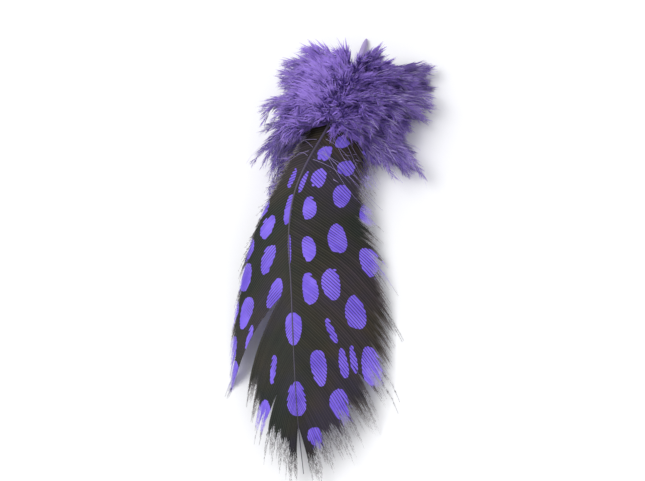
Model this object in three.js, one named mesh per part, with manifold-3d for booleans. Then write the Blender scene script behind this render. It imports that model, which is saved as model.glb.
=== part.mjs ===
// A guinea fowl body feather, lying on its hollow side with its outer face up.
// Millimetres, +Z up. The quill's foot is at the +Y end and the tip at the -Y end.
// A station is a distance along the feather from the quill's foot. A reach is a distance across the
// vane from the shaft, measured over its curved surface.
import * as THREE from "three";
import { mergeVertices } from "three/addons/utils/BufferGeometryUtils.js";
import Module from "manifold-3d";

// The shaft: [station, value] points that smooth curves run through
const SHAFT_END = 77;
const SHAFT_SIDEWAYS = [
  [0, 10.5], [10, 8.2], [19, 4.8], [26, 1.6], [32, -0.3], [39, -0.9], [48, -0.4], [62, 0], [84, 0.2],
];
const SHAFT_HEIGHT = [
  [0, 0.4], [9, 2.3], [18, 4.7], [28, 6.6], [40, 7.5], [52, 7.4], [62, 6.6], [70, 5], [77, 2.5], [84, 0],
];
const SHAFT_RADIUS = [
  [0, 0.25], [1.2, 0.6], [3, 0.72], [9, 0.75], [22, 0.6], [42, 0.46], [62, 0.36], [SHAFT_END, 0.2],
];
const SHAFT_SIDES = 8;
const SHAFT_STEP = 2.6;

// The vanes: how they arch down from the shaft to their margins
const VANE_START = 17;
const VANE_END = 70;
const ARCH_START_DEG = 6;
const MARGIN_RIPPLE = 0.35;
const RIPPLE_LENGTH = 16;
const RIPPLE_REACH = 23.5;
const VANE_THICKNESS = 0.5;
const MARGIN_THICKNESS = 0.3;

// The barbs: [share of the way down the vane, value]
const ROOT_ANGLE_DEG = [[0, 70], [0.25, 60], [0.55, 51], [0.82, 38], [1, 13]];
const TIP_ANGLE_DEG = [[0, 56], [0.25, 42], [0.55, 29], [0.82, 20], [1, 3]];
const BARB_ROWS = 51;
const BARB_STEPS = 5;
const TOOTH_DEPTH = [[0, 0.2], [0.27, 0.08], [0.59, 0.07], [0.77, 0.14], [1, 0.3]];
const TOOTH_PATTERN = [0, 0.8, 0.35, 1, 0.15, 0.9, 0.6];

// A split opens between two barbs, at a share of the way down the vane, from a share of their length
// out. The barbs beside it make room, over a spread in shares of the vane.
const SIDES = {
  left: {
    sign: -1,
    archRadius: 20,
    barbLength: [
      [0, 4.4], [0.12, 4.8], [0.2, 6], [0.27, 9.6], [0.33, 15],
      [0.4, 20], [0.5, 22], [0.57, 22.2], [0.62, 18.5], [0.72, 17.2], [0.82, 15.8], [1, 9.7],
    ],
    splits: [
      { at: 0.585, from: 0.1, gap: 5.6, spread: 0.1 },
      { at: 0.81, from: 0.35, gap: 1.3, spread: 0.05 },
    ],
  },
  right: {
    sign: 1,
    archRadius: 24,
    barbLength: [[0, 13], [0.1, 16], [0.23, 19.5], [0.41, 23.5], [0.64, 23], [0.82, 17.5], [1, 10]],
    splits: [
      { at: 0.64, from: 0.6, gap: 1.3, spread: 0.05 },
      { at: 0.755, from: 0.6, gap: 0.9, spread: 0.05 },
    ],
  },
};

// The down: locks around the shaft, from above the bare quill to the foot of the vane. Shares of a
// lock's length say how far it stands out, rises and leans towards the tip. The locks on top and to
// the right lean less.
const DOWN_START = 7;
const DOWN_END = 18.5;
const DOWN_LOCKS = 60;
const DOWN_LENGTH = 15.5;
const DOWN_OUT = 0.82;
const DOWN_RISE = 0.59;
const DOWN_LEAN = [-0.1, 0.95];
const TOP_LEAN_LOSS = 0.85;
const RIGHT_LEAN_LOSS = 0.5;
const DOWN_SAG = 1.5;
const SIDE_LENGTH_GAIN = 0.16;
const LENGTH_VARIATION = 0.12;
const LENGTH_RATE = 3.1;
const BEND_OUT = 0.75;
const BEND_AHEAD = 0.1;
const LOCK_WIDTH = 2.3;
const LOCK_THICKNESS = 1.1;
const LOCK_PROFILE = [[0, 0.3], [0.3, 0.85], [0.6, 1], [0.85, 0.6], [1, 0.06]];
const GOLDEN_TURN = THREE.MathUtils.degToRad(137.508);

// The locks underneath are pressed onto the surface: how low their tips and their bends may come
const LOWEST_TIP = 0.25;
const LOWEST_BEND = -1.2;

// The afterfeather: a small downy shoot that hangs under the shaft, as [share of its length, depth].
// Its locks leave it to the left and right in turn.
const AFTERFEATHER_START = 9;
const AFTERFEATHER_LENGTH = 22;
const AFTERFEATHER_DEPTH = [[0, 0.2], [0.3, 1.8], [1, 3.2]];
const AFTERFEATHER_RADIUS = [[0, 0.4], [1, 0.25]];
const AFTERFEATHER_STEPS = 8;
const AFTERFEATHER_LOCKS = 10;
const AFTERFEATHER_LOCK_LENGTH = [[0, 9], [1, 6]];
const AFTERFEATHER_FIRST_LOCK = 0.9;
const AFTERFEATHER_OUT = 0.75;
const AFTERFEATHER_AHEAD = 0.7;
const AFTERFEATHER_BEND_OUT = 0.55;
const AFTERFEATHER_BEND_AHEAD = 0.15;

// The side of a box that is larger than the feather
const SPACE = 300;

const wasm = await Module();
wasm.setup();
const { Manifold, Mesh } = wasm;

const { clamp, lerp, degToRad: radians } = THREE.MathUtils;
const UP = new THREE.Vector3(0, 0, 1);

// The value at a position, on a smooth curve through [position, value] points, level past both ends
function through(points, position) {
  const last = points.length - 1;
  const slopeAt = (k) => {
    const before = points[Math.max(k - 1, 0)];
    const after = points[Math.min(k + 1, last)];
    return (after[1] - before[1]) / (after[0] - before[0]);
  };
  let k = 0;
  while (k < last - 1 && position > points[k + 1][0]) k += 1;
  const [start, low] = points[k];
  const [end, high] = points[k + 1];
  const span = end - start;
  const t = clamp((position - start) / span, 0, 1);
  const rise = low * (1 + 2 * t) * (1 - t) ** 2 + high * t * t * (3 - 2 * t);
  return rise + slopeAt(k) * span * t * (1 - t) ** 2 - slopeAt(k + 1) * span * t * t * (1 - t);
}

// A closed solid from rings with the same number of points, in order along it. Its ends are closed
// by strips across the first and last ring.
function skin(rings) {
  const size = rings[0].length;
  const faces = [];
  const quad = (a, b, c, d) => faces.push(a, c, b, a, d, c);
  for (let r = 0; r + 1 < rings.length; r += 1) {
    for (let k = 0; k < size; k += 1) {
      const next = (k + 1) % size;
      quad(r * size + k, r * size + next, (r + 1) * size + next, (r + 1) * size + k);
    }
  }
  const top = (rings.length - 1) * size;
  for (let k = 0; k + 1 < size / 2; k += 1) {
    quad(size - 1 - k, size - 2 - k, k + 1, k);
    quad(top + k, top + k + 1, top + size - 2 - k, top + size - 1 - k);
  }
  const points = rings.flat().flatMap((p) => [p.x, p.y, p.z]);
  return new Manifold(new Mesh({
    numProp: 3,
    vertProperties: new Float32Array(points),
    triVerts: new Uint32Array(faces),
  }));
}

function shaftPoint(station) {
  return new THREE.Vector3(through(SHAFT_SIDEWAYS, station), -station, through(SHAFT_HEIGHT, station));
}

// The level direction across the feather at a station, towards its right side
function across(station) {
  const bend = through(SHAFT_SIDEWAYS, station + 0.5) - through(SHAFT_SIDEWAYS, station - 0.5);
  return new THREE.Vector3(1, bend, 0).normalize();
}

// A point on the vane, raised off its middle surface by lift
function vanePoint(side, station, reach, lift) {
  const start = radians(ARCH_START_DEG);
  const slope = start + reach / side.archRadius;
  const out = side.archRadius * (Math.sin(slope) - Math.sin(start)) + lift * Math.sin(slope);
  const drop = side.archRadius * (Math.cos(start) - Math.cos(slope)) - lift * Math.cos(slope);
  const wave = Math.sin((2 * Math.PI * station) / RIPPLE_LENGTH + side.sign);
  const ripple = MARGIN_RIPPLE * (reach / RIPPLE_REACH) ** 2 * wave;
  return shaftPoint(station)
    .addScaledVector(across(station), side.sign * out)
    .addScaledVector(UP, ripple - drop);
}

// Where a barb is, as a station and a reach, at a share of its length. It leaves the shaft at one
// angle and bends evenly to another, and near a split it bows away from the gap.
function barbAt(side, share, length, t) {
  const root = radians(through(ROOT_ANGLE_DEG, share));
  const tip = radians(through(TIP_ANGLE_DEG, share));
  const turn = (tip - root) / length;
  const angle = root + turn * length * t;
  let station = VANE_START + share * (VANE_END - VANE_START) + (Math.sin(angle) - Math.sin(root)) / turn;
  let reach = (Math.cos(root) - Math.cos(angle)) / turn;
  for (const split of side.splits) {
    const past = clamp((t - split.from) / (1 - split.from), 0, 1);
    const apart = share - split.at;
    const near = Math.exp(-Math.abs(apart) / split.spread);
    const shift = (split.gap / 2) * near * past * (apart < 0 ? -1 : 1);
    station += shift * Math.sin(angle);
    reach -= shift * Math.cos(angle);
  }
  return { station, reach };
}

// One barb's edge of the vane solid: out along its upper side and back along its lower side
function barbRing(side, share, row) {
  const tooth = through(TOOTH_DEPTH, share) * TOOTH_PATTERN[row % TOOTH_PATTERN.length];
  const length = through(side.barbLength, share) * (1 - tooth);
  const upper = [];
  const lower = [];
  for (let k = 0; k <= BARB_STEPS; k += 1) {
    const t = k / BARB_STEPS;
    const { station, reach } = barbAt(side, share, length, t);
    const half = lerp(VANE_THICKNESS, MARGIN_THICKNESS, t) / 2;
    upper.push(vanePoint(side, station, reach, half));
    lower.unshift(vanePoint(side, station, reach, -half));
  }
  return side.sign > 0 ? [...upper, ...lower] : [...upper, ...lower].reverse();
}

// The web between two splits, or between a split and an end of the vane
function vanePanel(side, from, to) {
  const rings = [];
  const rows = Math.round((to - from) * BARB_ROWS);
  const first = Math.round(from * BARB_ROWS);
  for (let row = 0; row <= rows; row += 1) {
    const share = lerp(from + 1e-4, to - 1e-4, row / rows);
    rings.push(barbRing(side, share, first + row));
  }
  return skin(rings);
}

function vane(side) {
  const edges = [0, ...side.splits.map((split) => split.at), 1];
  return edges.slice(1).map((edge, k) => vanePanel(side, edges[k], edge));
}

// A round rod along points, with a radius at each
function rod(points, radii) {
  const rings = points.map((point, k) => {
    const ahead = points[Math.min(k + 1, points.length - 1)].clone();
    const tangent = ahead.sub(points[Math.max(k - 1, 0)]).normalize();
    const side = new THREE.Vector3().crossVectors(tangent, UP).normalize();
    const top = new THREE.Vector3().crossVectors(side, tangent);
    return Array.from({ length: SHAFT_SIDES }, (_, n) => {
      const turn = (2 * Math.PI * (n + 0.5)) / SHAFT_SIDES;
      return point.clone()
        .addScaledVector(side, radii[k] * Math.cos(turn))
        .addScaledVector(top, radii[k] * Math.sin(turn));
    });
  });
  return skin(rings);
}

function shaft() {
  const count = Math.round(SHAFT_END / SHAFT_STEP);
  const stations = Array.from({ length: count + 1 }, (_, k) => (SHAFT_END * k) / count);
  return rod(stations.map(shaftPoint), stations.map((s) => through(SHAFT_RADIUS, s)));
}

// A lock of down: a flat, pointed blade that leaves its root, bends over and ends at its tip
function lock(root, bend, tip) {
  tip.z = Math.max(tip.z, LOWEST_TIP);
  bend.z = Math.max(bend.z, LOWEST_BEND);
  const curve = new THREE.QuadraticBezierCurve3(root, bend, tip);
  const rings = LOCK_PROFILE.map(([t, share]) => {
    const point = curve.getPoint(t);
    const tangent = curve.getTangent(t);
    const side = new THREE.Vector3().crossVectors(tangent, UP).normalize();
    const top = new THREE.Vector3().crossVectors(side, tangent);
    return [[1, 0], [0, 1], [-1, 0], [0, -1]].map(([s, h]) => point.clone()
      .addScaledVector(side, (s * share * LOCK_WIDTH) / 2)
      .addScaledVector(top, (h * share * LOCK_THICKNESS) / 2));
  });
  return skin(rings);
}

// Locks that turn round the shaft by the golden angle, so that they fill it evenly
function downLocks() {
  return Array.from({ length: DOWN_LOCKS }, (_, k) => {
    const share = (k + 0.5) / DOWN_LOCKS;
    const station = lerp(DOWN_START, DOWN_END, share);
    const turn = k * GOLDEN_TURN;
    const root = shaftPoint(station);
    const around = 1 + SIDE_LENGTH_GAIN * (Math.cos(2 * turn) - 1);
    const length = DOWN_LENGTH * around * (1 + LENGTH_VARIATION * Math.sin(LENGTH_RATE * k));
    const out = across(station).multiplyScalar(DOWN_OUT * length * Math.cos(turn))
      .addScaledVector(UP, DOWN_RISE * length * Math.sin(turn));
    const lean = lerp(...DOWN_LEAN, share)
      * (1 - TOP_LEAN_LOSS * Math.max(Math.sin(turn), 0))
      * (1 - RIGHT_LEAN_LOSS * Math.max(Math.cos(turn), 0));
    const ahead = new THREE.Vector3(0, -length * lean, 0);
    const bend = root.clone().addScaledVector(out, BEND_OUT).addScaledVector(ahead, BEND_AHEAD);
    const tip = root.clone().add(out).add(ahead);
    bend.z -= DOWN_SAG / 3;
    tip.z -= DOWN_SAG;
    return lock(root, bend, tip);
  });
}

function afterfeatherPoint(share) {
  const point = shaftPoint(AFTERFEATHER_START + share * AFTERFEATHER_LENGTH);
  point.z -= through(AFTERFEATHER_DEPTH, share);
  return point;
}

function afterfeather() {
  const shares = Array.from({ length: AFTERFEATHER_STEPS + 1 }, (_, k) => k / AFTERFEATHER_STEPS);
  const stem = rod(shares.map(afterfeatherPoint), shares.map((t) => through(AFTERFEATHER_RADIUS, t)));
  const locks = Array.from({ length: AFTERFEATHER_LOCKS }, (_, k) => {
    const share = (k + AFTERFEATHER_FIRST_LOCK) / AFTERFEATHER_LOCKS;
    const root = afterfeatherPoint(share);
    const length = through(AFTERFEATHER_LOCK_LENGTH, share);
    const station = AFTERFEATHER_START + share * AFTERFEATHER_LENGTH;
    const out = across(station).multiplyScalar(length * (k % 2 ? 1 : -1));
    const ahead = new THREE.Vector3(0, -AFTERFEATHER_AHEAD * length, 0);
    const bend = root.clone()
      .addScaledVector(out, AFTERFEATHER_BEND_OUT)
      .addScaledVector(ahead, AFTERFEATHER_BEND_AHEAD);
    const tip = root.clone().addScaledVector(out, AFTERFEATHER_OUT).add(ahead);
    tip.z -= DOWN_SAG;
    return lock(root, bend, tip);
  });
  return [stem, ...locks];
}

// What is above the surface that the feather lies on
function aboveFloor() {
  const box = new THREE.BoxGeometry(SPACE, SPACE, SPACE).translate(0, 0, SPACE / 2);
  box.deleteAttribute("normal");
  box.deleteAttribute("uv");
  const merged = mergeVertices(box);
  return new Manifold(new Mesh({
    numProp: 3,
    vertProperties: new Float32Array(merged.attributes.position.array),
    triVerts: new Uint32Array(merged.index.array),
  }));
}

function toGeometry(solid) {
  const { numProp, vertProperties, triVerts } = solid.getMesh();
  const geometry = new THREE.BufferGeometry();
  const points = vertProperties.length / numProp;
  const position = new Float32Array(points * 3);
  for (let k = 0; k < points; k += 1) {
    for (let n = 0; n < 3; n += 1) position[3 * k + n] = vertProperties[numProp * k + n];
  }
  geometry.setAttribute("position", new THREE.BufferAttribute(position, 3));
  geometry.setIndex(Array.from(triVerts));
  return geometry;
}

const grown = [shaft(), ...vane(SIDES.left), ...vane(SIDES.right), ...downLocks(), ...afterfeather()];
const joined = grown.reduce((whole, piece) => whole.add(piece)).intersect(aboveFloor());
const geometry = toGeometry(joined);
geometry.computeBoundingBox();
const middle = geometry.boundingBox.getCenter(new THREE.Vector3());
geometry.translate(-middle.x, -middle.y, 0);
geometry.computeVertexNormals();

const plumage = new THREE.MeshStandardMaterial({ color: 0x3a2f5c, roughness: 0.8, metalness: 0 });
const feather = new THREE.Mesh(geometry, plumage);
feather.name = "feather";
const part = new THREE.Group();
part.add(feather);

export default part;
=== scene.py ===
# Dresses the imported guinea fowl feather: its barbs, its spots, its down and its shaft.
# Metres, in the CAD's frame: +Z up, the quill's foot at +Y, the tip at -Y, the outer face up.
# A station is a distance along the feather from the quill's foot. A reach is a distance across the
# vane from the shaft, measured over its curved surface.
import math

import bpy
import numpy as np
from mathutils import Matrix, Vector


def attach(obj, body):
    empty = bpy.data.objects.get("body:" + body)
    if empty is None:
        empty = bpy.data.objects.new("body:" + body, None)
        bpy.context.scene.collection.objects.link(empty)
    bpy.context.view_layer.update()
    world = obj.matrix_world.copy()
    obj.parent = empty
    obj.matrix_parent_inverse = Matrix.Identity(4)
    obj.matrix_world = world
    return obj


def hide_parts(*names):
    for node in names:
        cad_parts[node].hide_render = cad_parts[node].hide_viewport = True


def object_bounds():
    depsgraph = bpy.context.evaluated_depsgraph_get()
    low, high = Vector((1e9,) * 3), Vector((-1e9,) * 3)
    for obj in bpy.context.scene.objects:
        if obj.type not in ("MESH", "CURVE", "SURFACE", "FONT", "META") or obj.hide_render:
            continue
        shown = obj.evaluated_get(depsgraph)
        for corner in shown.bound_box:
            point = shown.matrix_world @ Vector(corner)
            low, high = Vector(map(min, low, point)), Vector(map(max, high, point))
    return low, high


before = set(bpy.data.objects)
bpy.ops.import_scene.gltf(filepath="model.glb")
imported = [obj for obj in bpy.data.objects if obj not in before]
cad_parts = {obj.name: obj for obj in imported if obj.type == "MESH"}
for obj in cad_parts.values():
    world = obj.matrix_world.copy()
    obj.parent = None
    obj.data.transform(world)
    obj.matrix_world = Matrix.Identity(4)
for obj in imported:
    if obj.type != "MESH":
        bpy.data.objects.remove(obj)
cad_low, cad_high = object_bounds()

MM = 0.001
UP = np.array([0.0, 0.0, 1.0])
# A little off the vertical, so that no upright strand lies along it
NEARLY_UP = UP + 0.01
random = np.random.default_rng(7)


def mm(points):
    """Points given in millimetres, in metres."""
    return np.array(points, float) * MM


def share_mm(points):
    """Points that pair a share with a length in millimetres, with the length in metres."""
    return np.array(points, float) * [1, MM]


# The shaft, as in the CAD, but as slender as the real one
SHAFT_END = 77 * MM
SHAFT_SIDEWAYS = mm([
    [0, 10.5], [10, 8.2], [19, 4.8], [26, 1.6], [32, -0.3], [39, -0.9], [48, -0.4], [62, 0], [84, 0.2],
])
SHAFT_HEIGHT = mm([
    [0, 0.4], [9, 2.3], [18, 4.7], [28, 6.6], [40, 7.5], [52, 7.4], [62, 6.6], [70, 5], [77, 2.5], [84, 0],
])
SHAFT_RADIUS = mm([
    [0, 0.2], [0.8, 0.42], [3, 0.6], [9, 0.54], [18, 0.26], [30, 0.16], [42, 0.13], [62, 0.1], [77, 0.05],
])
SHAFT_STEPS = 90
SHAFT_SIDES = 12
# How far the shaft's middle lies under its line, as a share of its radius
SHAFT_SINK = 0.2

# The vanes, as in the CAD. A split has its share of the way down the vane, the share of the barbs'
# length where it starts, its gap and its spread.
VANE_START = 17 * MM
VANE_END = 70 * MM
ARCH_START = math.radians(6)
MARGIN_RIPPLE = 0.35 * MM
RIPPLE_LENGTH = 16 * MM
RIPPLE_REACH = 23.5 * MM
ROOT_ANGLE_DEG = [[0, 70], [0.25, 60], [0.55, 51], [0.82, 38], [1, 13]]
TIP_ANGLE_DEG = [[0, 56], [0.25, 42], [0.55, 29], [0.82, 20], [1, 3]]
TOOTH_ROWS = 51
TOOTH_DEPTH = [[0, 0.2], [0.27, 0.08], [0.59, 0.07], [0.77, 0.14], [1, 0.3]]
TOOTH_PATTERN = [0, 0.8, 0.35, 1, 0.15, 0.9, 0.6]
SIDES = {
    "left": {
        "sign": -1,
        "arch": 20 * MM,
        "barb_length": share_mm([
            [0, 4.4], [0.12, 4.8], [0.2, 6], [0.27, 9.6], [0.33, 15],
            [0.4, 20], [0.5, 22], [0.57, 22.2], [0.62, 18.5], [0.72, 17.2], [0.82, 15.8], [1, 9.7],
        ]),
        "splits": [(0.585, 0.1, 5.6 * MM, 0.1), (0.81, 0.35, 1.3 * MM, 0.05)],
    },
    "right": {
        "sign": 1,
        "arch": 24 * MM,
        "barb_length": share_mm([
            [0, 13], [0.1, 16], [0.23, 19.5], [0.41, 23.5], [0.64, 23], [0.82, 17.5], [1, 10],
        ]),
        "splits": [(0.64, 0.6, 1.3 * MM, 0.05), (0.755, 0.6, 0.9 * MM, 0.05)],
    },
}

# The barbs of one side. Each is a strip with a ridge, the ramus, and a little more than half the space
# to the next barb as its half width, so that it overlaps its neighbours. With a power below 1 its steps
# are shorter towards its tip. Its length varies by a factor in a range, and some barbs are longer still.
BARBS = 100
BARB_STEPS = 30
STEP_POWER = 0.9
BARB_LENGTHS = (0.96, 1.03)
STRAY_SHARE = 0.1
STRAY_LENGTH = 1.16
OVERLAP = 1.34
# The strip's cross section: shares of the half width, with heights over the vane's surface
SECTION_ASIDE = np.array([-1, -0.25, 0, 0.25, 1, 0])
SECTION_HEIGHT = mm([-0.02, 0.01, 0.055, 0.02, 0.015, -0.06])
# The web of barbules thins between two stations near the vane's end, more on some barbs than on others
OPEN_WIDTH = 0.75
OPEN_START = 69 * MM
OPEN_END = 77 * MM
OPENINGS = (0.5, 1)
# The share of a barb's length where its web ends, from the vane's start to its end, and the range of a
# factor on it. The strip narrows from a little before that place to a little after it, to a flatter hair
# that tapers.
WEB_END = [[0, 0.72], [0.12, 0.86], [0.45, 0.92], [0.6, 0.87], [0.72, 0.79], [0.86, 0.7], [1, 0.62]]
WEB_ENDS = (0.94, 1.04)
WEB_FADE = (-0.08, 0.05)
HAIR_HALF_WIDTH = 0.03 * MM
HAIR_TAPER = 1.3
HAIR_FLATTENING = 0.6
# How long before the end of the web its barbules begin to stand free, as a share of the barb's length,
# and the share of it where they end
LOOSE_START = 0.12
LOOSE_END = 0.95
# The barbs' ends come together in clumps: how many barbs, how much by the share of the way down the
# vane, the range of a factor on that, and from which share of their length
CLUMP_SIZE = (3, 8)
CLUMP_PULL = [[0, 0.1], [0.45, 0.12], [0.6, 0.35], [0.75, 0.8], [1, 1.05]]
CLUMP_PULLS = (0.6, 1.2)
CLUMP_START = 0.72
# Hairs past the left margin: where on the vane and on the barb they start, how far past the barb's tip
# they reach, how far they drift along the feather, their wave's size, its turn along the hair and its
# phase by their place on the vane, both in radians, their greatest lift and their radii
MARGIN_HAIRS = 26
MARGIN_HAIR_SHARES = (0.0, 0.33)
MARGIN_HAIR_START = 0.8
MARGIN_HAIR_LENGTH = mm([1.2, 3.6])
MARGIN_HAIR_DRIFT = mm([-1.2, 0.4])
MARGIN_HAIR_WAVE = 0.15 * MM
MARGIN_HAIR_TURN = 4
MARGIN_HAIR_PHASE = 90
MARGIN_HAIR_LIFT = 0.8 * MM
MARGIN_HAIR_RADII = mm([0.034, 0.01])

# The down's locks, as in the CAD
DOWN_START = 7 * MM
DOWN_END = 18.5 * MM
DOWN_LOCKS = 60
DOWN_LENGTH = 15.5 * MM
DOWN_OUT = 0.82
DOWN_RISE = 0.59
DOWN_LEAN = (-0.1, 0.95)
TOP_LEAN_LOSS = 0.85
RIGHT_LEAN_LOSS = 0.5
DOWN_SAG = 1.5 * MM
SIDE_LENGTH_GAIN = 0.16
LENGTH_VARIATION = 0.12
LENGTH_RATE = 3.1
BEND_OUT = 0.75
BEND_AHEAD = 0.1
GOLDEN_TURN = math.radians(137.508)
LOWEST_TIP = 0.25 * MM
LOWEST_BEND = -1.2 * MM
AFTERFEATHER_START = 9 * MM
AFTERFEATHER_LENGTH = 22 * MM
AFTERFEATHER_DEPTH = share_mm([[0, 0.2], [0.3, 1.8], [1, 3.2]])
AFTERFEATHER_LOCKS = 10
AFTERFEATHER_LOCK_LENGTH = share_mm([[0, 9], [1, 6]])
AFTERFEATHER_FIRST_LOCK = 0.9
AFTERFEATHER_OUT = 0.75
AFTERFEATHER_AHEAD = 0.7
AFTERFEATHER_BEND_OUT = 0.55
AFTERFEATHER_BEND_AHEAD = 0.15
STEM_STEPS = 24
STEM_SIDES = 8
STEM_RADII = mm([0.24, 0.06])

# The downy barbs of a lock, in bundles that fan out from its middle line
BUNDLES_IN_LOCK = 12
STRANDS_IN_BUNDLE = 2
STRAND_STEPS = 12
STRAND_RADII = mm([0.04, 0.014])
STRAND_SPREAD = 2.6 * MM
LOCK_FLATNESS = 0.75
FAN_POWER = 0.9
# The range of each value over all bundles, and how far the strands of one bundle differ, as a share of
# that range. First a strand's turn round the lock's line and the square of its distance from it.
BUNDLE_TURN = (0, 2 * math.pi, 0.14)
BUNDLE_SPREAD = (0.1, 0.9, 0.2)
# Its sideways waves, their phase and their size in millimetres, and how many waves it has in height for
# each of them
BUNDLE_WAVES = (0.6, 1.5, 0.2)
BUNDLE_PHASE = (0, 6.3, 0.15)
BUNDLE_WAVE_SIZE = (0.15, 0.6, 0.2)
HEIGHT_WAVES = 0.8
# Its length as a share of the lock's, and where it starts along the feather, in millimetres
BUNDLE_LENGTH = (0.6, 1.06, 0.25)
BUNDLE_START = (-0.5, 0.5, 0.3)
# How much further up than straight out from the shaft the down is shaded
DOWN_TOPS_RISE = 3 * MM
# Strands whose tint is above this are painted glints: nearly white, bare and thicker, and they stand out
# from the others
GLINT_TINT = 0.78
GLINT_THICKNESS = 1.5
GLINT_LIFT = 1.1 * MM

# The fine hairs over the top of the vane, most of them along its barbs: how many on each side, where they
# start on the vane and on a barb, their length as a share of the barb's, how far they drift along the
# feather, their wave's size and its turn along the hair in radians, their lift at both ends, how much more
# it is in the middle, and their radii
OVERLYING_HAIRS = {"left": 4, "right": 13}
OVERLYING_SHARES = (-0.06, 0.16)
OVERLYING_START = 0.1
OVERLYING_LENGTHS = (0.5, 1.1)
OVERLYING_DRIFT = mm([-3.5, 3])
OVERLYING_WAVE = 0.6 * MM
OVERLYING_TURN = 3
OVERLYING_LIFT = mm([0.3, 0.45])
OVERLYING_HUMP = mm([0.1, 0.9])
OVERLYING_RADII = mm([0.045, 0.015])

# Barbules: how many on each strand, their length and half width, how near they stay to the surface from
# 0 to 1, and the range of how far they point ahead
VANE_BARBULES = {
    "each": 64, "length": 0.32 * MM, "half_width": 0.008 * MM, "level": 0.8, "leans": (1.4, 2.8),
}
MARGIN_BARBULES = {
    "each": 16, "length": 0.4 * MM, "half_width": 0.012 * MM, "level": 0.4, "leans": (0.6, 1.4),
}
DOWN_BARBULES = {
    "each": 130, "length": 1.2 * MM, "half_width": 0.009 * MM, "level": 0, "leans": (1.4, 3.2),
}
# Their first place on the strand, the range of their size, their curl, and how far the tip leans on
FIRST_BARBULE = 0.04
BARBULE_SIZES = (0.4, 1.15)
BARBULE_CURL = 0.4
BARBULE_TIP_LEAN = 0.4
# Along the strand their length follows the arc of a sine over a least share of it: that share, the power
# that moves the arc's top towards the strand's foot, where on the sine the arc starts in radians, and its
# length in half turns
TAPER_LEAST = 0.45
TAPER_POWER = 0.7
TAPER_START = 0.12
TAPER_ARC = 0.93

# Spots beside the shaft, where they lie on the vane: station and reach in millimetres
SPOTS = {
    "right": [
        (20.5, 3.6), (23.3, 2), (27.8, 3), (34, 3), (41.8, 3.2), (48.8, 3), (61.5, 3.8),
        (20.4, 8.8), (24.4, 6.4), (30.2, 7.6), (40, 7.8), (48.2, 6.4), (52.8, 10), (67.2, 6.6), (71.8, 2.4),
        (24.6, 11), (33, 12.8), (44.2, 12.8), (45.6, 16.2), (61.2, 12),
    ],
    "left": [
        (33.2, 6), (36.8, 4.2), (42.2, 4), (48.5, 3), (67.5, 6.4),
        (39.2, 8.6), (43.6, 9.2), (49.8, 9.4), (48.6, 13.4), (55.2, 14.2), (59.8, 14),
    ],
}
# A spot's half length and half width in millimetres, by its station and by its reach, and how far it
# leans out towards its end, in radians
SPOT_HALF_LENGTH = [[19, 1.2], [27, 1.7], [32, 2.1], [42, 2.4], [50, 2.7], [61, 2.9], [67, 2.5], [72, 1.4]]
SPOT_HALF_WIDTH = [[2, 1.1], [5, 1.3], [9, 1.6], [14, 1.75]]
SPOT_LEAN = {"left": 0.45, "right": 0.08}
# Spots on the shaft, and narrow ones: station, reach (negative on the left), half length, half width
# and lean
NARROW_SPOTS = [
    (28.8, -1.4, 1.7, 0.5, 0), (29.2, 0.8, 2, 0.4, 0), (34.4, -0.5, 2.8, 0.65, 0), (41.4, 0.1, 2.6, 0.28, 0),
    (55, 0.1, 2.7, 1.35, 0), (66.2, 0, 2.6, 1.55, 0), (55.8, 6, 2.1, 0.55, 0.35), (61, 7.6, 2.4, 0.7, 0.1),
    (60.4, 9.2, 2.2, 0.55, 0.1), (54.3, -8.7, 2, 0.6, -0.5), (60.8, -3.8, 2.3, 0.55, -0.2),
]
# The range of a factor on a spot's size, how square its outline is, and the outline's waves
SPOT_SIZES = (0.92, 1.08)
SPOT_SQUARENESS = 2.1
SPOT_WAVES = 3
SPOT_WAVE_SIZE = 0.12
SPOT_WAVE_PHASES = (0, 6)
# Barbs take a spot's colour a little early or late. They are searched for spots in fine steps, along
# their middle and along both edges of what shows of them.
SPOT_EDGE_JITTER = 0.05 * MM
FINE_STEPS = 500
BARB_HALF_SPACE = 0.19 * MM
# The most that a barb's edge may cross a spot's rim before or after its middle, as a share of its length,
# how clear of a rim its other steps stay, and how much of the way to the next rim a skew may take
RIM_SKEW = 0.025
RIM_CLEARANCE = 0.035
RIM_ROOM = 0.45

FLOOR_GAP = 0.05 * MM

# The map for baking: its empty edge, how far apart it keeps strands on and off spots, and how wide barbs,
# strands and barbules are on it
MAP_EDGE = 0.01
MAP_MARK_SHIFT = 1.1
MAP_BARB_SIZE = 0.45
MAP_STRAND_SIZE = 0.01
MAP_BARBULE_SIZE = 0.02

# The camera and the stage. A light has its place in metres, its size and its power in watts.
CAMERA_BACK = (0.28, -0.42, 0.86)
CAMERA_DISTANCE = 0.23
CAMERA_LENS = 80
FLOOR_SIZE = 6
FLOOR_COLOUR = (0.88, 0.88, 0.89, 1)
SKY_COLOUR = (0.97, 0.98, 1, 1)
SKY_STRENGTH = 0.74
LIGHTS = {
    "key": ((-0.25, 0.1, 0.45), 0.35, 1.6),
    "fill": ((0.35, -0.35, 0.35), 0.3, 0.35),
}


def through(points, position):
    """The value at a position, on a smooth curve through [position, value] points, level past both ends."""
    at, value = np.array(points, float).T
    order = np.arange(len(at))
    before, after = np.maximum(order - 1, 0), np.minimum(order + 1, order[-1])
    slope = (value[after] - value[before]) / (at[after] - at[before])
    k = np.clip(np.searchsorted(at, position) - 1, 0, order[-1] - 1)
    span = at[k + 1] - at[k]
    t = np.clip((position - at[k]) / span, 0, 1)
    rise = value[k] * (1 + 2 * t) * (1 - t) ** 2 + value[k + 1] * t * t * (3 - 2 * t)
    return rise + slope[k] * span * t * (1 - t) ** 2 - slope[k + 1] * span * t * t * (1 - t)


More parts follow.
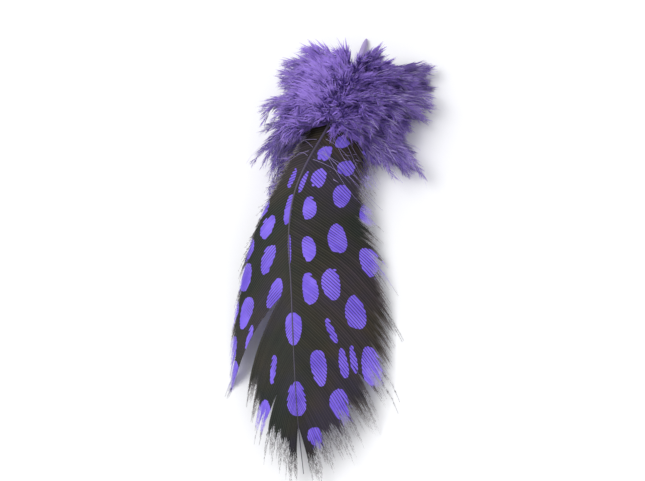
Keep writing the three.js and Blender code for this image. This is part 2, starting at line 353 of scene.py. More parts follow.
def smooth_step(low, high, value):
    """Goes smoothly from 0 to 1 while a value goes from low to high."""
    t = np.clip((value - low) / (high - low), 0, 1)
    return t * t * (3 - 2 * t)


def unit(vectors):
    """Vectors at a length of 1."""
    return vectors / np.linalg.norm(vectors, axis=-1, keepdims=True)


def shaft_point(station):
    """A point on the shaft's line, in the CAD's own axes but with the quill's foot at y = 0."""
    station = np.asarray(station, float)
    sideways, height = through(SHAFT_SIDEWAYS, station), through(SHAFT_HEIGHT, station)
    return np.stack([sideways, -station, height], -1)


def across(station):
    """The level direction across the feather, towards its right side."""
    station = np.asarray(station, float)
    bend = through(SHAFT_SIDEWAYS, station + 0.5 * MM) - through(SHAFT_SIDEWAYS, station - 0.5 * MM)
    return unit(np.stack([np.ones_like(bend), bend / MM, np.zeros_like(bend)], -1))


def quill_foot():
    """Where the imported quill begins: the middle of its vertices at the part's +Y end."""
    points = np.array([v.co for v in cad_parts["feather"].data.vertices])
    end = points[points[:, 1] > points[:, 1].max() - MM]
    return (end.min(0) + end.max(0)) / 2


# From the CAD's own axes, with the quill's foot at y = 0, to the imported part's place
SHIFT = quill_foot() - shaft_point(0.0)


def vane_point(side, station, reach):
    """Points on the vane's middle surface, and the surface's normals there."""
    slope = ARCH_START + reach / side["arch"]
    out = side["arch"] * (np.sin(slope) - math.sin(ARCH_START))
    drop = side["arch"] * (math.cos(ARCH_START) - np.cos(slope))
    wave = np.sin(2 * math.pi * station / RIPPLE_LENGTH + side["sign"])
    ripple = MARGIN_RIPPLE * (reach / RIPPLE_REACH) ** 2 * wave
    outward = across(station) * side["sign"]
    point = shaft_point(station) + outward * out[..., None] + UP * (ripple - drop)[..., None]
    normal = outward * np.sin(slope)[..., None] + UP * np.cos(slope)[..., None]
    return point, normal


def barb_at(side, share, length, t, pull=0.0, parted=True):
    """Station and reach at shares t of a barb's length. Its curve is that of the barbs beside it, however
    long it is. It bows away from the splits near it, and its tip is drawn to the middle of its clump by
    a pull along the feather."""
    root = math.radians(through(ROOT_ANGLE_DEG, share))
    tip = math.radians(through(TIP_ANGLE_DEG, share))
    turn = (tip - root) / through(side["barb_length"], share)
    angle = root + turn * length * t
    station = VANE_START + share * (VANE_END - VANE_START) + (np.sin(angle) - math.sin(root)) / turn
    reach = (math.cos(root) - np.cos(angle)) / turn
    shift = pull * np.sin(angle) * smooth_step(CLUMP_START, 1, t)
    for at, start, gap, spread in side["splits"] if parted else []:
        past = np.clip((t - start) / (1 - start), 0, 1)
        apart = share - at
        near = math.exp(-abs(apart) / spread)
        shift = shift + gap / 2 * near * past * (-1 if apart < 0 else 1)
    return station + shift * np.sin(angle), reach - shift * np.cos(angle)


def barb_length(side, share):
    """The length of a barb, which is shorter where the margin has a tooth's gap."""
    row = share * TOOTH_ROWS % len(TOOTH_PATTERN)
    tooth = np.interp(row, range(len(TOOTH_PATTERN) + 1), TOOTH_PATTERN + TOOTH_PATTERN[:1])
    return through(side["barb_length"], share) * (1 - through(TOOTH_DEPTH, share) * tooth)


def clump_pulls():
    """How far each barb's tip is drawn along the feather, to the middle of its clump."""
    pulls = []
    while len(pulls) < BARBS:
        size = random.integers(*CLUMP_SIZE)
        apart = (VANE_END - VANE_START) / BARBS * (np.arange(size) - (size - 1) / 2)
        pulls.extend(-apart * through(CLUMP_PULL, len(pulls) / BARBS) * random.uniform(*CLUMP_PULLS))
    return pulls


def make_spots():
    """Each spot's station, signed reach, half length, half width, lean and outline phase. A half length
    is in millimetres of station, which are shorter where the shaft bends towards the spot."""
    spots = [(*spot, random.uniform(*SPOT_WAVE_PHASES)) for spot in NARROW_SPOTS]
    for name, places in SPOTS.items():
        side = SIDES[name]
        for station, reach in places:
            ends, _ = vane_point(side, np.array([station - 0.5, station + 0.5]) * MM, np.full(2, reach * MM))
            stretch = np.linalg.norm(ends[1] - ends[0]) / MM
            long = float(through(SPOT_HALF_LENGTH, station)) / stretch * random.uniform(*SPOT_SIZES)
            wide = float(through(SPOT_HALF_WIDTH, reach)) * random.uniform(*SPOT_SIZES)
            lean = side["sign"] * SPOT_LEAN[name]
            phase = random.uniform(*SPOT_WAVE_PHASES)
            spots.append((station, side["sign"] * reach, long, wide, lean, phase))
    return np.array(spots)


def in_spot(spots, station, reach):
    """Whether places on the vane, with the reach negative on the left, lie in a spot."""
    ahead = station[:, None] / MM - spots[:, 0]
    aside = reach[:, None] / MM - spots[:, 1]
    lean = spots[:, 4]
    u = (ahead * np.cos(lean) + aside * np.sin(lean)) / spots[:, 2]
    v = (aside * np.cos(lean) - ahead * np.sin(lean)) / spots[:, 3]
    rim = 1 + SPOT_WAVE_SIZE * np.sin(SPOT_WAVES * np.arctan2(v, u) + spots[:, 5])
    return (np.abs(u) ** SPOT_SQUARENESS + np.abs(v) ** SPOT_SQUARENESS < rim).any(1)


def closest(place, others, way):
    """How far on the nearest of some places is, or else the most a rim may be skewed that way."""
    apart = others - place
    if len(apart) and abs(apart).min() < RIM_SKEW:
        return apart[abs(apart).argmin()]
    return RIM_SKEW * way


def rim_rows(inside, fine):
    """Where a barb's middle enters and leaves spots, and how much further along its two edges do, given
    what is inside a spot on its one edge, its middle and its other edge."""
    rows, skews = [], []
    between = (fine[1:] + fine[:-1]) / 2
    turns = [np.diff(line.astype(int)) for line in inside]
    for way in (1, -1):
        found = [between[turn == way] for turn in turns]
        for place in found[1]:
            rows.append(place)
            skews.append([closest(place, edge, way) for edge in (found[0], found[2])])
    rows, skews = np.array(rows), np.array(skews).reshape(-1, 2)
    if len(rows) > 1:
        apart = np.abs(rows - rows[:, None]) + np.eye(len(rows))
        room = apart.min(1)[:, None] * RIM_ROOM
        skews = np.clip(skews, -room, room)
    return rows, skews


class Builder:
    """Gathers points and faces. Each corner has a look of four numbers and a place on the map for baking.
    A smooth piece is shaded by the normals given with its points."""

    def __init__(self):
        self.points, self.normals, self.faces, self.looks, self.maps, self.count = [], [], [], [], [], 0

    def add(self, points, normals, faces, looks, maps):
        self.points.append(points.reshape(-1, 3))
        self.normals.append(normals.reshape(-1, 3))
        self.faces.append(faces + self.count)
        self.looks.append(looks)
        self.maps.append(maps)
        self.count += len(self.points[-1])

    def finish(self, name, material, smooth):
        """The piece as an object that stands for the CAD's feather."""
        points = np.concatenate(self.points) + SHIFT
        points[:, 2] = np.maximum(points[:, 2], FLOOR_GAP)
        sizes = np.concatenate([np.full(len(f), f.shape[1]) for f in self.faces])
        corners = np.concatenate([f.ravel() for f in self.faces])
        looks = np.concatenate([c.reshape(-1, 4) for c in self.looks])
        maps = np.concatenate([m.reshape(-1, 2) for m in self.maps])
        mesh = bpy.data.meshes.new(name)
        mesh.vertices.add(len(points))
        mesh.vertices.foreach_set("co", points.ravel())
        mesh.loops.add(len(corners))
        mesh.loops.foreach_set("vertex_index", corners)
        mesh.polygons.add(len(sizes))
        mesh.polygons.foreach_set("loop_start", np.cumsum(sizes) - sizes)
        mesh.polygons.foreach_set("loop_total", sizes)
        mesh.polygons.foreach_set("use_smooth", np.full(len(sizes), smooth))
        mesh.update(calc_edges=True)
        mesh.attributes.new("look", "FLOAT_COLOR", "CORNER").data.foreach_set("color", looks.ravel())
        low, high = maps.min(0), maps.max(0)
        inside = MAP_EDGE + (1 - 2 * MAP_EDGE) * (maps - low) / (high - low)
        mesh.uv_layers.new(name="OFBake").uv.foreach_set("vector", inside.ravel())
        if smooth:
            mesh.normals_split_custom_set_from_vertices(np.concatenate(self.normals))
        mesh.materials.append(material)
        piece = bpy.data.objects.new(name, mesh)
        bpy.context.collection.objects.link(piece)
        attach(piece, "root")
        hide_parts("feather")
        print(name, len(points), "points", int((sizes - 2).sum()), "triangles")


def tube_faces(rings, size):
    """Quads between rings of the same size, seen from outside when each ring runs counter-clockwise
    for someone who looks along the tube."""
    ring, k = np.meshgrid(np.arange(rings - 1), np.arange(size), indexing="ij")
    here, nxt = ring * size + k, ring * size + (k + 1) % size
    return np.stack([here, here + size, nxt + size, nxt], -1).reshape(-1, 4)


def add_strands(builder, paths, radii, marks, tints, sides=3, column=0):
    """Thin round strands along paths of shape (strands, steps, 3). Their maps start at a column."""
    count, steps, _ = paths.shape
    ahead = unit(np.gradient(paths, axis=1))
    aside = unit(np.cross(ahead, NEARLY_UP))
    top = np.cross(aside, ahead)
    turn = 2 * math.pi * np.arange(sides) / sides
    offset = aside[:, :, None] * np.cos(turn)[:, None] + top[:, :, None] * np.sin(turn)[:, None]
    points = paths[:, :, None] + offset * radii[..., None, None]
    one = tube_faces(steps, sides)
    faces = (np.arange(count)[:, None, None] * steps * sides + one).reshape(-1, 4)
    shape = points.shape[:3]
    along = np.broadcast_to(np.linspace(0, 1, steps)[None, :, None], shape)
    tint = np.broadcast_to(tints[:, None, None], shape)
    mark = np.broadcast_to(marks[..., None], shape)
    looks = np.stack([mark, np.zeros(shape), tint, along], -1).reshape(-1, 4)
    across_map = column + MAP_MARK_SHIFT * mark + along + MAP_STRAND_SIZE * np.cos(turn)
    maps = np.stack([across_map, tint + MAP_STRAND_SIZE * np.sin(turn)], -1).reshape(-1, 2)
    builder.add(points, np.broadcast_to(offset, points.shape), faces, looks[faces], maps[faces])


def barbule_taper(along):
    """A factor on barbules' length, greatest in the first half of a strand and least at its tip."""
    arc = np.sin(math.pi * along ** TAPER_POWER * TAPER_ARC + TAPER_START)
    return TAPER_LEAST + (1 - TAPER_LEAST) * arc


def add_barbules(builder, paths, tops, marks, tints, each, length, half_width, level, leans, column=0):
    """Fine pointed barbules, kinked once, along both sides of strands. The level, from 0 to 1, is how
    near they stay to the surface whose normals are the tops, and the leans say how much they point
    ahead. They face those normals, so that many of them together are shaded as one soft form."""
    count, steps, _ = paths.shape
    place = np.sort(random.uniform(FIRST_BARBULE, 1, (count, each)), axis=1) * (steps - 1)
    k = np.minimum(place.astype(int), steps - 2)
    part = (place - k)[..., None]
    row = np.arange(count)[:, None]
    root = paths[row, k] * (1 - part) + paths[row, k + 1] * part
    ahead = unit(paths[row, k + 1] - paths[row, k])
    aside = unit(np.cross(ahead, tops[row, k]))
    top = np.cross(aside, ahead)
    hand = random.integers(0, 2, (count, each)) * math.pi
    turn = (hand + random.uniform(-1, 1, (count, each)) * math.pi / 2 * (1 - level))[..., None]
    outward = aside * np.cos(turn) + top * np.sin(turn)
    flat = aside * -np.sin(turn) + top * np.cos(turn)
    along = place / (steps - 1)
    size = (length * random.uniform(*BARBULE_SIZES, (count, each)) * barbule_taper(along))[..., None]
    lean = random.uniform(*leans, (count, each))[..., None]
    curl = random.uniform(-BARBULE_CURL, BARBULE_CURL, (count, each))[..., None] * (1 - level)
    bend = root + (outward + ahead * lean) * size / 2
    tip = bend + (outward / 2 + ahead * (lean + BARBULE_TIP_LEAN) + flat * curl) * size / 2
    foot = ahead * half_width
    points = np.stack([root - foot, root + foot, bend + flat * half_width / 2, tip], 2)
    normals = np.broadcast_to(tops[row, k][:, :, None], points.shape)
    facing = np.cross(points[:, :, 1] - points[:, :, 0], points[:, :, 2] - points[:, :, 0])
    turned = np.einsum("ijk,ijk->ij", facing, tops[row, k]).reshape(-1, 1) < 0
    first = np.arange(count * each)[:, None] * 4
    faces = np.concatenate([
        first + np.where(turned, [0, 2, 1], [0, 1, 2]),
        first + np.where(turned, [1, 2, 3], [1, 3, 2]),
    ])
    far = np.array([0, 0, 0.5, 1])
    shape = points.shape[:3]
    edge = np.broadcast_to(far, shape)
    reach = np.broadcast_to(along[..., None], shape)
    tint = np.broadcast_to(tints[:, None, None], shape)
    mark = np.broadcast_to(marks[row, k][..., None], shape)
    looks = np.stack([mark, edge, tint, reach], -1).reshape(-1, 4)
    across_map = column + MAP_MARK_SHIFT * mark + reach + MAP_BARBULE_SIZE * far
    along_map = tint + MAP_BARBULE_SIZE * np.array([0, 1, 0.5, 0.2])
    maps = np.stack([across_map, along_map], -1).reshape(-1, 2)
    builder.add(points, normals, faces, looks[faces], maps[faces])


def barb_steps(side, share, length, pull, spots):
    """Fine steps along a barb and whether its middle is in a spot at each, then its own steps, with one at
    each spot's rim, and how far on its two edges are there."""
    late = random.uniform(-1, 1) * SPOT_EDGE_JITTER / length
    fine = np.linspace(0, 1, FINE_STEPS)
    station, reach = barb_at(side, share, length, np.clip(fine + late, 0, 1), pull)
    across_barb = unit(np.stack([np.gradient(reach), -np.gradient(station)], -1)) * BARB_HALF_SPACE
    inside = []
    for edge in (-1, 0, 1):
        edge_reach = side["sign"] * (reach + edge * across_barb[:, 1])
        inside.append(in_spot(spots, station + edge * across_barb[:, 0], edge_reach))
    rims, skews = rim_rows(inside, fine)
    t = np.linspace(0, 1, BARB_STEPS + 1) ** STEP_POWER
    clear = np.abs(t[:, None] - rims).min(1, initial=1) > RIM_CLEARANCE
    clear[[0, -1]] = True
    t, skews = np.concatenate([t[clear], rims]), np.concatenate([np.zeros((clear.sum(), 2)), skews])
    order = np.argsort(t)
    return fine, inside[1], t[order], skews[order]


def barb_directions(side, share, length, t, centre):
    """A barb's directions ahead, up and towards the feather's tip, and the space to the next barb."""
    ahead = unit(np.gradient(centre, axis=0))
    before, after = (barb_at(side, share + way / BARBS, length, t, 0, False) for way in (-0.5, 0.5))
    step = vane_point(side, *after)[0] - vane_point(side, *before)[0]
    normal = unit(np.cross(step, ahead)) * side["sign"]
    distal = np.cross(ahead, normal) * side["sign"]
    return ahead, normal, distal, np.abs(np.einsum("ij,ij->i", step, distal))


def add_barb(builder, side, k, pull, spots):
    """One barb of a vane. Returns its loose end: middle line, normals, spot marks and tint."""
    share = (k + 0.5) / BARBS
    stray = STRAY_LENGTH if random.uniform() < STRAY_SHARE else 1
    length = barb_length(side, share) * random.uniform(*BARB_LENGTHS) * stray
    fine, marked, t, skews = barb_steps(side, share, length, pull, spots)
    station, reach = barb_at(side, share, length, t, pull)
    centre, _ = vane_point(side, station, reach)
    ahead, normal, distal, space = barb_directions(side, share, length, t, centre)
    web_end = float(through(WEB_END, share)) * random.uniform(*WEB_ENDS) / stray
    bare = smooth_step(web_end + WEB_FADE[0], web_end + WEB_FADE[1], t)
    opened = smooth_step(OPEN_START, OPEN_END, station) * random.uniform(*OPENINGS)
    web = space / 2 * (OVERLAP + (OPEN_WIDTH - OVERLAP) * opened)
    half_width = web * (1 - bare) + HAIR_HALF_WIDTH * bare * (HAIR_TAPER - t)
    sideways = distal[:, None] * (half_width[:, None] * SECTION_ASIDE)[..., None]
    height = (1 - HAIR_FLATTENING * bare)[:, None] * SECTION_HEIGHT
    points = centre[:, None] + sideways + normal[:, None] * height[..., None]
    skew = np.where(SECTION_ASIDE < 0, skews[:, :1], skews[:, 1:]) * np.abs(SECTION_ASIDE) * length
    points = points + ahead[:, None] * skew[..., None]
    faces = tube_faces(len(t), len(SECTION_ASIDE))
    tint = random.uniform(0, 1)
    spotted = marked[np.searchsorted(fine, (t[1:] + t[:-1]) / 2).clip(0, len(fine) - 1)]
    grid = np.ones((len(t), len(SECTION_ASIDE)))
    past_web = ((t - web_end + LOOSE_START) / (1 + LOOSE_START - web_end)).clip(0, 1)
    looks = np.stack([grid, grid * np.abs(SECTION_ASIDE), grid * tint, grid * past_web[:, None]], -1)
    looks = looks.reshape(-1, 4)[faces]
    looks[..., 0] = np.repeat(spotted, len(SECTION_ASIDE))[:, None]
    maps = np.stack([grid * (k + 0.5 + MAP_BARB_SIZE * SECTION_ASIDE), grid * t[:, None]], -1).reshape(-1, 2)
    order = slice(None, None, -side["sign"])
    normals = np.broadcast_to(normal[:, None], points.shape)
    builder.add(points, normals, faces[:, order], looks[:, order], maps[faces][:, order])
    loose = np.linspace(web_end - LOOSE_START, LOOSE_END, STRAND_STEPS)
    centre, normal = vane_point(side, *barb_at(side, share, length, loose, pull))
    return centre, normal, marked[(loose * (len(fine) - 1)).astype(int)].astype(float), tint


def make_vane(name, side, spots, material):
    """The barbs of one side, the barbules on their loose ends and, on the left, hairs past the margin."""
    builder = Builder()
    pulls = clump_pulls()
    ends = [add_barb(builder, side, k, pulls[k], spots) for k in range(BARBS)]
    paths, tops, marks, tints = (np.array(each) for each in zip(*ends))
    add_barbules(builder, paths, tops, marks, tints, **VANE_BARBULES, column=BARBS + 1)
    if side["sign"] < 0:
        add_margin_hairs(builder, side)
    builder.finish(name, material, smooth=False)


def add_margin_hairs(builder, side):
    """Ends of barbs that stand out past the left margin, where the vane comes out of the down."""
    t = np.linspace(0, 1, STRAND_STEPS)
    ends = []
    for share in random.uniform(*MARGIN_HAIR_SHARES, MARGIN_HAIRS):
        length = barb_length(side, share)
        past = random.uniform(*MARGIN_HAIR_LENGTH) / length
        along = MARGIN_HAIR_START + (1 - MARGIN_HAIR_START + past) * t
        station, reach = barb_at(side, share, length, along)
        wave = MARGIN_HAIR_WAVE * np.sin(MARGIN_HAIR_TURN * t + share * MARGIN_HAIR_PHASE)
        station = station + random.uniform(*MARGIN_HAIR_DRIFT) * t ** 2 + wave
        points, tops = vane_point(side, station, reach)
        ends.append((points + UP * (random.uniform(0, MARGIN_HAIR_LIFT) * t ** 2)[:, None], tops))
    paths, tops = (np.array(each) for each in zip(*ends))
    marks, tints = np.zeros(paths.shape[:2]), random.uniform(0, 1, MARGIN_HAIRS)
    radii = np.linspace(*MARGIN_HAIR_RADII, STRAND_STEPS) * np.ones((MARGIN_HAIRS, 1))
    add_strands(builder, paths, radii, marks, tints, column=BARBS + 1)
    add_barbules(builder, paths, tops, marks, tints, **MARGIN_BARBULES, column=BARBS + 1)


def lock_curve(root, bend, tip, t):
    """A lock's middle line at shares t of its length, with its bend and tip kept from lying too low."""
    bend[2], tip[2] = max(bend[2], LOWEST_BEND), max(tip[2], LOWEST_TIP)
    t = t[:, None]
    return root * (1 - t) ** 2 + bend * 2 * t * (1 - t) + tip * t * t


def down_lock(k, t):
    """The middle line of one of the down's locks, which go round the shaft by the golden angle."""
    share = (k + 0.5) / DOWN_LOCKS
    station = DOWN_START + (DOWN_END - DOWN_START) * share
    turn = k * GOLDEN_TURN
    root = shaft_point(station)
    around = 1 + SIDE_LENGTH_GAIN * (math.cos(2 * turn) - 1)
    length = DOWN_LENGTH * around * (1 + LENGTH_VARIATION * math.sin(LENGTH_RATE * k))
    out = across(station) * DOWN_OUT * length * math.cos(turn) + UP * DOWN_RISE * length * math.sin(turn)
    lean = DOWN_LEAN[0] + (DOWN_LEAN[1] - DOWN_LEAN[0]) * share
    lean *= 1 - TOP_LEAN_LOSS * max(math.sin(turn), 0)
    lean *= 1 - RIGHT_LEAN_LOSS * max(math.cos(turn), 0)
    ahead = np.array([0, -length * lean, 0])
    bend = root + BEND_OUT * out + BEND_AHEAD * ahead - UP * DOWN_SAG / 3
    return lock_curve(root, bend, root + out + ahead - UP * DOWN_SAG, t)


def afterfeather_point(share):
    """A point on the afterfeather's stem, which runs under the shaft."""
    above = shaft_point(AFTERFEATHER_START + share * AFTERFEATHER_LENGTH)
    return above - UP * through(AFTERFEATHER_DEPTH, share)


def afterfeather_lock(k, t):
    """The middle line of one of the afterfeather's locks, which alternate to the left and right."""
    share = (k + AFTERFEATHER_FIRST_LOCK) / AFTERFEATHER_LOCKS
    root = afterfeather_point(share)
    length = float(through(AFTERFEATHER_LOCK_LENGTH, share))
    out = across(AFTERFEATHER_START + share * AFTERFEATHER_LENGTH) * length * (1 if k % 2 else -1)
    ahead = np.array([0, -AFTERFEATHER_AHEAD * length, 0])
    bend = root + AFTERFEATHER_BEND_OUT * out + AFTERFEATHER_BEND_AHEAD * ahead
    return lock_curve(root, bend, root + AFTERFEATHER_OUT * out + ahead - UP * DOWN_SAG, t)


def bundled(count, low, high, own):
    """A random number for each downy barb of the locks: its bundle's, with a share of its own."""
    shape = (count, BUNDLES_IN_LOCK, 1)
    common = np.repeat(random.uniform(low, high, shape), STRANDS_IN_BUNDLE, axis=1)
    return common + own * (high - low) * random.uniform(-0.5, 0.5, common.shape)


def downy(lines):
    """Downy barbs that fan out from each lock's middle line in small bundles, in soft waves."""
    count, steps, _ = lines.shape
    each = BUNDLES_IN_LOCK * STRANDS_IN_BUNDLE
    t = np.linspace(0, 1, steps)
    ahead = unit(np.gradient(lines, axis=1))
    aside = unit(np.cross(ahead, UP))
    top = np.cross(aside, ahead)
    turn = bundled(count, *BUNDLE_TURN)
    far = np.sqrt(bundled(count, *BUNDLE_SPREAD)) * STRAND_SPREAD
    sideways, height = np.cos(turn) * far, np.sin(turn) * far * LOCK_FLATNESS
    waves, phase = bundled(count, *BUNDLE_WAVES), bundled(count, *BUNDLE_PHASE)
    size = bundled(count, *BUNDLE_WAVE_SIZE) * MM
    wave = np.sin(2 * math.pi * waves * t + phase) * size * t
    lift = np.cos(2 * math.pi * waves * t * HEIGHT_WAVES + phase) * size * t
    place = t * bundled(count, *BUNDLE_LENGTH) * (steps - 1)
    k = np.minimum(place.astype(int), steps - 2)
    part = (place - k)[..., None]
    row = np.arange(count)[:, None, None]
    middle = lines[row, k] * (1 - part) + lines[row, k + 1] * part
    fan = t ** FAN_POWER
    start = bundled(count, *BUNDLE_START)[..., None] * np.array([0, MM, 0])
    paths = middle + start + aside[row, k] * (sideways * fan + wave)[..., None]
    paths = paths + top[row, k] * (height * fan + lift)[..., None]
    return paths.reshape(count * each, steps, 3)


def make_down(name, lines, material):
    """Down along the middle lines of some locks."""
    paths = downy(np.array(lines))
    paths[..., 2] = np.maximum(paths[..., 2], LOWEST_TIP - SHIFT[2])
    tints, marks = random.uniform(0, 1, len(paths)), np.zeros(paths.shape[:2])
    thickness = np.where(tints > GLINT_TINT, GLINT_THICKNESS, 1)
    radii = np.linspace(*STRAND_RADII, STRAND_STEPS) * thickness[:, None]
    tops = unit(paths - shaft_point(-paths[..., 1]) + UP * DOWN_TOPS_RISE)
    lift = GLINT_LIFT * (tints > GLINT_TINT)[:, None] * np.linspace(0, 1, STRAND_STEPS)
    builder = Builder()
    add_strands(builder, paths + tops * lift[..., None], radii, marks, tints)
    soft = tints < GLINT_TINT
    paths, tops, marks, tints = paths[soft], tops[soft], marks[soft], tints[soft]
    add_barbules(builder, paths, tops, marks, tints, **DOWN_BARBULES)
    builder.finish(name, material, smooth=True)


def make_overlying_hairs(material):
    """Fine pale hairs that lie over the top of the vane, most of them along its barbs."""
    t = np.linspace(0, 1, STRAND_STEPS)
    paths = []
    for name, count in OVERLYING_HAIRS.items():
        side = SIDES[name]
        for share in random.uniform(*OVERLYING_SHARES, count):
            length = float(through(side["barb_length"], share)) * random.uniform(*OVERLYING_LENGTHS)
            station, reach = barb_at(side, share, length, OVERLYING_START + (1 - OVERLYING_START) * t)
            station = station + random.uniform(*OVERLYING_DRIFT) * t
            station = station + random.uniform(-1, 1) * OVERLYING_WAVE * np.sin(OVERLYING_TURN * t)
            points, tops = vane_point(side, station, reach)
            lift = random.uniform(*OVERLYING_LIFT) + random.uniform(*OVERLYING_HUMP) * np.sin(math.pi * t)
            paths.append(points + tops * lift[:, None])
    paths = np.array(paths)
    marks, tints = np.ones(paths.shape[:2]), random.uniform(0, 1, len(paths))
    radii = np.linspace(*OVERLYING_RADII, STRAND_STEPS) * np.ones((len(paths), 1))
    builder = Builder()
    add_strands(builder, paths, radii, marks, tints)
    builder.finish("overlying_hairs", material, smooth=True)


def make_shaft(material):
    """The quill, the rachis and the afterfeather's stem. Their tints only set them apart on the map."""
    builder = Builder()
    stations = np.linspace(0, SHAFT_END, SHAFT_STEPS)
    radii = through(SHAFT_RADIUS, stations)
    centre = shaft_point(stations) - UP * (SHAFT_SINK * radii)[:, None]
    marks = np.zeros((1, SHAFT_STEPS))
    add_strands(builder, centre[None], radii[None], marks, np.array([0.5]), SHAFT_SIDES)
    stem = np.array([afterfeather_point(share) for share in np.linspace(0, 1, STEM_STEPS)])
    radii = np.linspace(*STEM_RADII, STEM_STEPS)
    marks = np.zeros((1, STEM_STEPS))
    add_strands(builder, stem[None], radii[None], marks, np.array([0.9]), STEM_SIDES)
    builder.finish("shaft", material, smooth=True)


def new_material(name, roughness):
    """A new material, its nodes and its shader."""
    material = bpy.data.materials.new(name)
    material.use_nodes = True
    shader = material.node_tree.nodes["Principled BSDF"]
    shader.inputs["Roughness"].default_value = roughness
    return material, material.node_tree, shader


def node(tree, kind, settings=(), **values):
    """A new node with some settings, and with values in the sockets that are named after them."""
    made = tree.nodes.new(kind)
    for key, value in dict(settings).items():
        setattr(made, key, value)
    for key, value in values.items():
        made.inputs[key.replace("_", " ")].default_value = value
    return made


def feed(tree, source, socket):
    """Puts a number, a colour or another node's output into a socket."""
    if isinstance(source, bpy.types.NodeSocket):
        tree.links.new(source, socket)
    else:
        socket.default_value = source


def look_values(tree):
    """Whether a place is in a spot, how near it is to its barb's edge or its barbule's tip, its barb's
    tint, and its share of the way along its hair or its barb's loose end."""
    attribute = node(tree, "ShaderNodeAttribute", {"attribute_name": "look"})
    split = node(tree, "ShaderNodeSeparateColor")
    tree.links.new(attribute.outputs["Color"], split.inputs["Color"])
    return [*split.outputs, attribute.outputs["Alpha"]]


def mix(tree, factor, one, other):
    """Goes from one colour to the other while the factor goes from 0 to 1."""
    made = node(tree, "ShaderNodeMix", {"data_type": "RGBA"})
    feed(tree, factor, made.inputs[0])
    feed(tree, one, made.inputs[6])
    feed(tree, other, made.inputs[7])
    return made.outputs[2]


def ranged(tree, value, low, high, to_low=0.0, to_high=1.0):
    """A value carried from one range to another, and kept inside it."""
    made = node(tree, "ShaderNodeMapRange", From_Min=low, From_Max=high, To_Min=to_low, To_Max=to_high)
    tree.links.new(value, made.inputs["Value"])
    return made.outputs["Result"]


def times(tree, one, other):
    """The product of two values."""
    made = node(tree, "ShaderNodeMath", {"operation": "MULTIPLY"})
    feed(tree, one, made.inputs[0])
    feed(tree, other, made.inputs[1])
    return made.outputs[0]


def noise(tree, scale, detail=3.0):
    """A soft random pattern from 0 to 1, whose scale is in patches to the metre."""
    place = node(tree, "ShaderNodeTexCoord")
    made = node(tree, "ShaderNodeTexNoise", Scale=scale, Detail=detail)
    tree.links.new(place.outputs["Object"], made.inputs["Vector"])
    return made.outputs["Fac"]


def srgb(red, green, blue):
    """A colour given as 0 to 255, as the shader's linear numbers."""
    parts = np.array([red, green, blue]) / 255
    linear = np.where(parts > 0.04045, ((parts + 0.055) / 1.055) ** 2.4, parts / 12.92)
    return (*linear, 1.0)


def vane_material():
    """A dark ground in patches of green, brown and violet, with painted highlights along the rami, and dyed
    spots with painted shade as dark lines between their barbs. Both are paler towards the barbs' loose ends."""
    material, tree, shader = new_material("vane", 0.55)
    mark, edge, tint, along = look_values(tree)
    ground = mix(tree, ranged(tree, noise(tree, 60), 0.38, 0.62), srgb(28, 36, 29), srgb(62, 50, 38))
    ground = mix(tree, ranged(tree, noise(tree, 110), 0.45, 0.68, 0, 0.7), ground, srgb(42, 38, 64))
    ground = mix(tree, ranged(tree, tint, 0, 1, 0, 0.5), ground, srgb(20, 20, 19))
    # Painted highlight: the rami along the barbs' middles are lightened towards grey-olive, as if they
    # caught the light
    ground = mix(tree, ranged(tree, edge, 0.22, 0.0, 0, 0.32), ground, srgb(104, 100, 90))
    dye = mix(tree, ranged(tree, noise(tree, 260), 0.35, 0.65), srgb(106, 80, 206), srgb(130, 104, 228))
    dye = mix(tree, ranged(tree, tint, 0, 1, 0, 0.35), dye, srgb(148, 124, 238))
    # Painted shade: dark lines near the barbs' edges in the spots, where shade falls between the barbs,
    # stronger in patches
    lines = times(tree, ranged(tree, edge, 0.45, 0.9), ranged(tree, noise(tree, 150), 0.42, 0.56, 0.1, 1))
    dye = mix(tree, lines, dye, srgb(34, 26, 70))
    # The ground and the dye grow paler along the barbs' loose ends
    paler_to_loose_ends = ranged(tree, along, 0.15, 0.85, 0, 0.8)
    ground = mix(tree, paler_to_loose_ends, ground, srgb(150, 143, 146))
    dye = mix(tree, paler_to_loose_ends, dye, srgb(196, 182, 240))
    tree.links.new(mix(tree, mark, ground, dye), shader.inputs["Base Color"])
    shader.inputs["Specular IOR Level"].default_value = 0.2
    shader.inputs["Sheen Weight"].default_value = 0.06
    shader.inputs["Sheen Roughness"].default_value = 0.4
    shader.inputs["Sheen Tint"].default_value = srgb(150, 150, 190)
    return material


def down_material():
    """Violet dye, with painted shade at the roots, painted highlights at the barbules' tips and painted
    glints on the palest strands. Marked hairs are greyer.
    """
    material, tree, shader = new_material("down", 0.7)
    mark, edge, tint, along = look_values(tree)
    dye = mix(tree, tint, srgb(130, 94, 206), srgb(168, 136, 236))
    # Painted glints: the strands with the highest tints are coloured nearly white
    dye = mix(tree, ranged(tree, tint, GLINT_TINT, GLINT_TINT + 0.04), dye, srgb(222, 210, 248))
    # Painted shade: the strands and barbules are darker towards the locks' roots, deep inside the down
    dye = mix(tree, ranged(tree, along, 0.0, 0.5, 0.7, 0), dye, srgb(88, 62, 158))
    # Painted highlight: the barbules are lighter towards their tips
    dye = mix(tree, times(tree, edge, 0.45), dye, srgb(180, 150, 240))
    dye = mix(tree, times(tree, mark, 0.8), dye, srgb(150, 138, 184))
    tree.links.new(dye, shader.inputs["Base Color"])
    shader.inputs["Sheen Weight"].default_value = 0.7
    shader.inputs["Sheen Roughness"].default_value = 0.4
    shader.inputs["Sheen Tint"].default_value = srgb(216, 200, 248)
    return material


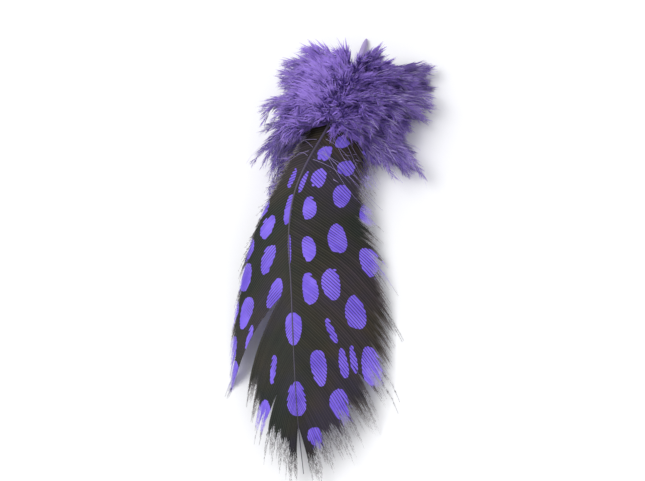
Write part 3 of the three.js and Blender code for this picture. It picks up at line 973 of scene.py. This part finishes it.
def shaft_material():
    """Horn that is pale at the quill and dark in the vane, with a trace of the dye."""
    material, tree, shader = new_material("shaft", 0.45)
    *_, along = look_values(tree)
    horn = mix(tree, ranged(tree, along, 0.08, 0.3), srgb(170, 154, 200), srgb(78, 70, 86))
    horn = mix(tree, ranged(tree, along, 0.35, 0.7), horn, srgb(58, 54, 58))
    horn = mix(tree, ranged(tree, noise(tree, 400), 0.4, 0.7, 0, 0.25), horn, srgb(88, 70, 130))
    tree.links.new(horn, shader.inputs["Base Color"])
    return material


def make_stage():
    """A plain pale floor, soft light from the upper left and a pale sky."""
    bpy.ops.mesh.primitive_plane_add(size=FLOOR_SIZE)
    floor = bpy.context.object
    floor.name = "floor"
    material, _, shader = new_material("floor", 0.8)
    shader.inputs["Base Color"].default_value = FLOOR_COLOUR
    floor.data.materials.append(material)
    world = bpy.data.worlds.new("sky")
    bpy.context.scene.world = world
    world.use_nodes = True
    background = world.node_tree.nodes["Background"]
    background.inputs["Color"].default_value = SKY_COLOUR
    background.inputs["Strength"].default_value = SKY_STRENGTH
    for name, (place, size, power) in LIGHTS.items():
        light = bpy.data.lights.new(name, "AREA")
        light.size, light.energy = size, power
        lamp = bpy.data.objects.new(name, light)
        lamp.location = place
        lamp.rotation_euler = (-Vector(place)).to_track_quat("-Z", "Y").to_euler()
        bpy.context.collection.objects.link(lamp)


def make_camera():
    """A camera that looks down on the feather from its right and from past its tip, with the tip at the
    bottom of the picture."""
    camera = bpy.data.objects.new("camera", bpy.data.cameras.new("camera"))
    bpy.context.collection.objects.link(camera)
    bpy.context.scene.camera = camera
    camera.data.lens = CAMERA_LENS
    back = Vector(CAMERA_BACK).normalized()
    right = Vector((0, 1, 0)).cross(back).normalized()
    turn = Matrix((right, back.cross(right), back)).transposed().to_4x4()
    target = (Vector(cad_low) + Vector(cad_high)) / 2
    camera.matrix_world = Matrix.Translation(target + back * CAMERA_DISTANCE) @ turn


make_stage()
make_camera()
vane_look, down_look, shaft_look = vane_material(), down_material(), shaft_material()
spots = make_spots()
make_vane("left_vane", SIDES["left"], spots, vane_look)
make_vane("right_vane", SIDES["right"], spots, vane_look)
make_shaft(shaft_look)
steps = np.linspace(0, 1, STRAND_STEPS)
# The down's locks, by the quarter of a turn round the shaft that they point to
for quarter, name in enumerate(("down_top_right", "down_top_left", "down_lower_left", "down_lower_right")):
    locks = [k for k in range(DOWN_LOCKS) if k * GOLDEN_TURN // (math.pi / 2) % 4 == quarter]
    make_down(name, [down_lock(k, steps) for k in locks], down_look)
make_down("afterfeather", [afterfeather_lock(k, steps) for k in range(AFTERFEATHER_LOCKS)], down_look)
make_overlying_hairs(down_look)
bpy.context.scene.view_settings.view_transform = "Standard"
